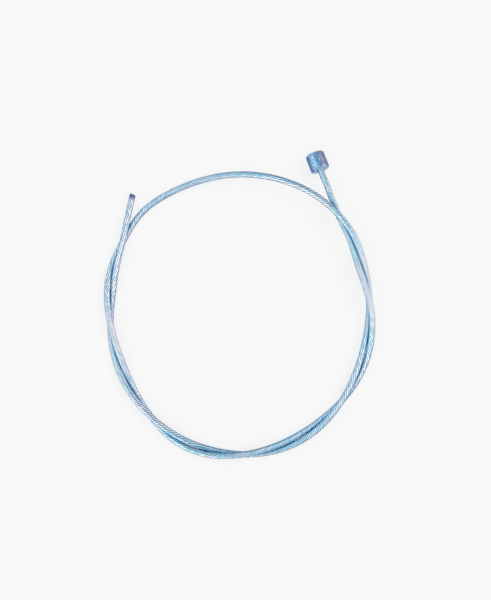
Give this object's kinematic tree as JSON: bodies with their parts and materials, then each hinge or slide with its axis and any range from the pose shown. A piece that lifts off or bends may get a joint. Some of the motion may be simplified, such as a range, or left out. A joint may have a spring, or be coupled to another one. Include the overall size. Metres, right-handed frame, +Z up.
{
  "type": "straddle cable",
  "caption": "Steel wire strand with a barrel nipple cast on its end and a fused free end, lying in a loosely twined loop.",
  "frame": {"origin": "middle of the bounding box's base, on the surface that the looped cable lies on", "axes": "+Z up out of the loop's plane, +Y across the loop towards the nipple's side, +X to the right as seen from above"},
  "size_m": [0.0658, 0.0746, 0.0057],
  "materials": {
    "galvanised_wire": "galvanised steel wires, satin, laid in a left-hand strand",
    "nipple_metal": "smooth plated metal, half gloss"
  },
  "bodies": {
    "root": {"cable": "galvanised_wire", "barrel_nipple": "nipple_metal"}
  },
  "joints": []
}
